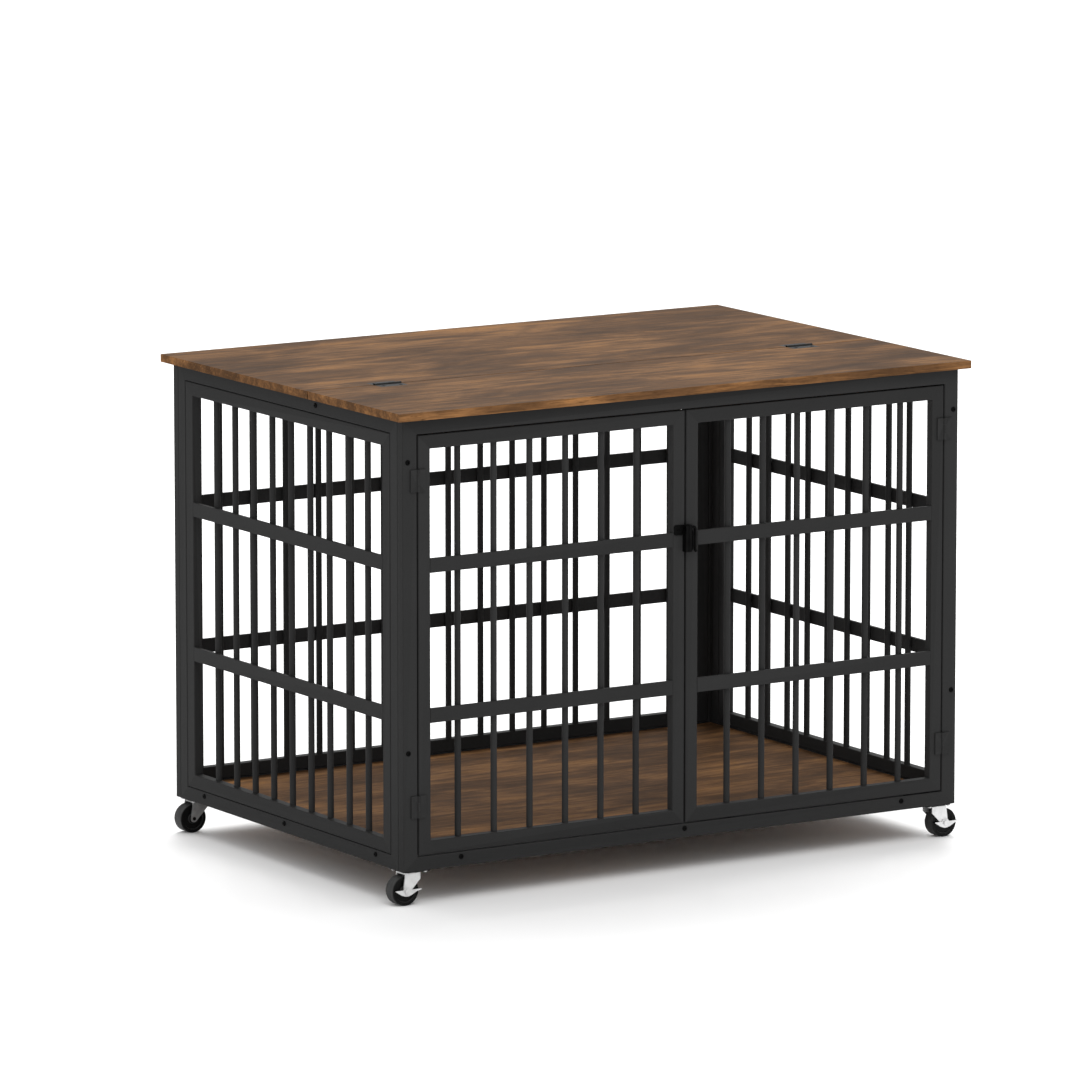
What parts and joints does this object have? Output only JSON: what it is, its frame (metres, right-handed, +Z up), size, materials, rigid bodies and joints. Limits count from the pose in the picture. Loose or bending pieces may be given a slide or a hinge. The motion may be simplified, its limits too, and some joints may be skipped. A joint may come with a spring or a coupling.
{
  "type": "dog crate",
  "caption": "Rectangular steel bar crate for a large dog, with a wooden floor, a two-piece wooden top with a hinged front board, double front doors with a sliding latch, and swivel casters.",
  "frame": {"origin": "on the floor, under the centre of the crate", "axes": "+X to the right as seen from the front doors, +Y from the doors to the back, +Z up"},
  "size_m": [1.1, 0.77, 0.8065],
  "materials": {
    "frame_paint": "satin charcoal powder coat",
    "black_hardware": "black",
    "top_wood": "rustic brown, satin",
    "floor_wood": "rustic brown, satin",
    "caster_zinc": "bright zinc plate",
    "caster_steel_dark": "dull grey zinc",
    "wheel_nylon": "black moulded nylon"
  },
  "bodies": {
    "crate": {"front_frame": "frame_paint", "back_frame": "frame_paint", "left_side_frame": "frame_paint", "right_side_frame": "frame_paint", "back_panel_frame": "frame_paint", "back_panel_rails": "frame_paint", "back_panel_bars": "frame_paint", "left_panel_frame": "frame_paint", "left_panel_rails": "frame_paint", "left_panel_bars": "frame_paint", "right_panel_frame": "frame_paint", "right_panel_rails": "frame_paint", "right_panel_bars": "frame_paint", "frame_bolts": "black_hardware", "floor_board": "floor_wood", "floor_screws": "black_hardware", "top_cross_beam": "frame_paint", "beam_screws": "black_hardware", "rear_top_board": "top_wood", "top_board_screws": "black_hardware", "flap_hinge_rear_leaves": "frame_paint", "flap_hinge_pins": "black_hardware", "rear_leaf_screws": "black_hardware", "left_hinge_frame_leaves": "frame_paint", "right_hinge_frame_leaves": "frame_paint", "door_hinge_pins": "black_hardware", "caster_plates": "frame_paint", "caster_screws": "caster_zinc", "king_pins": "caster_steel_dark"},
    "top_flap": {"front_top_board": "top_wood", "flap_hinge_front_leaves": "frame_paint", "front_leaf_screws": "black_hardware"},
    "left_door": {"left_door_frame": "frame_paint", "left_door_rails": "frame_paint", "left_door_bars": "frame_paint", "left_hinge_door_leaves": "frame_paint", "latch_keeper": "black_hardware", "keeper_screws": "black_hardware"},
    "right_door": {"right_door_frame": "frame_paint", "right_door_rails": "frame_paint", "right_door_bars": "frame_paint", "right_hinge_door_leaves": "frame_paint", "latch_guide": "black_hardware", "guide_screws": "black_hardware"},
    "latch_slide": {"latch_bolt": "black_hardware"},
    "swivel_front_left": {"fork_front_left": "caster_zinc", "axle_front_left": "caster_zinc"},
    "wheel_front_left": {"wheel_front_left": "wheel_nylon"},
    "brake_front_left": {"brake_front_left": "caster_zinc"},
    "swivel_front_right": {"fork_front_right": "caster_zinc", "axle_front_right": "caster_zinc"},
    "wheel_front_right": {"wheel_front_right": "wheel_nylon"},
    "brake_front_right": {"brake_front_right": "caster_zinc"},
    "swivel_rear_left": {"fork_rear_left": "caster_steel_dark", "axle_rear_left": "black_hardware"},
    "wheel_rear_left": {"wheel_rear_left": "wheel_nylon"},
    "swivel_rear_right": {"fork_rear_right": "caster_steel_dark", "axle_rear_right": "black_hardware"},
    "wheel_rear_right": {"wheel_rear_right": "wheel_nylon"}
  },
  "joints": [
    {"name": "top_flap_hinge", "type": "hinge", "parent": "crate", "child": "top_flap", "pos_m": [0, -0.097, 0.8035], "axis": [-1, 0, 0], "range_deg": [0, 175]},
    {"name": "left_door_hinge", "type": "hinge", "parent": "crate", "child": "left_door", "pos_m": [-0.50715, -0.3715, 0.427], "axis": [0, 0, -1], "range_deg": [0, 170]},
    {"name": "right_door_hinge", "type": "hinge", "parent": "crate", "child": "right_door", "pos_m": [0.50715, -0.3715, 0.427], "axis": [0, 0, 1], "range_deg": [0, 170]},
    {"name": "latch_slide_joint", "type": "slide", "parent": "right_door", "child": "latch_slide", "axis": [1, 0, 0], "range_m": [-0.006, 0]},
    {"name": "swivel_front_left_joint", "type": "hinge", "parent": "crate", "child": "swivel_front_left", "pos_m": [-0.51, -0.344, 0.053], "axis": [0, 0, 1], "continuous": true},
    {"name": "wheel_front_left_joint", "type": "hinge", "parent": "swivel_front_left", "child": "wheel_front_left", "pos_m": [-0.523, -0.344, 0.02425], "axis": [0, 1, 0], "continuous": true},
    {"name": "brake_front_left_joint", "type": "hinge", "parent": "swivel_front_left", "child": "brake_front_left", "pos_m": [-0.523, -0.344, 0.02425], "axis": [0, 1, 0], "range_deg": [-6, 6]},
    {"name": "swivel_front_right_joint", "type": "hinge", "parent": "crate", "child": "swivel_front_right", "pos_m": [0.51, -0.344, 0.053], "axis": [0, 0, 1], "continuous": true},
    {"name": "wheel_front_right_joint", "type": "hinge", "parent": "swivel_front_right", "child": "wheel_front_right", "pos_m": [0.523, -0.344, 0.02425], "axis": [0, 1, 0], "continuous": true},
    {"name": "brake_front_right_joint", "type": "hinge", "parent": "swivel_front_right", "child": "brake_front_right", "pos_m": [0.523, -0.344, 0.02425], "axis": [0, 1, 0], "range_deg": [-6, 6]},
    {"name": "swivel_rear_left_joint", "type": "hinge", "parent": "crate", "child": "swivel_rear_left", "pos_m": [-0.51, 0.344, 0.053], "axis": [0, 0, 1], "continuous": true},
    {"name": "wheel_rear_left_joint", "type": "hinge", "parent": "swivel_rear_left", "child": "wheel_rear_left", "pos_m": [-0.523, 0.344, 0.02425], "axis": [0, 1, 0], "continuous": true},
    {"name": "swivel_rear_right_joint", "type": "hinge", "parent": "crate", "child": "swivel_rear_right", "pos_m": [0.51, 0.344, 0.053], "axis": [0, 0, 1], "continuous": true},
    {"name": "wheel_rear_right_joint", "type": "hinge", "parent": "swivel_rear_right", "child": "wheel_rear_right", "pos_m": [0.523, 0.344, 0.02425], "axis": [0, 1, 0], "continuous": true}
  ]
}
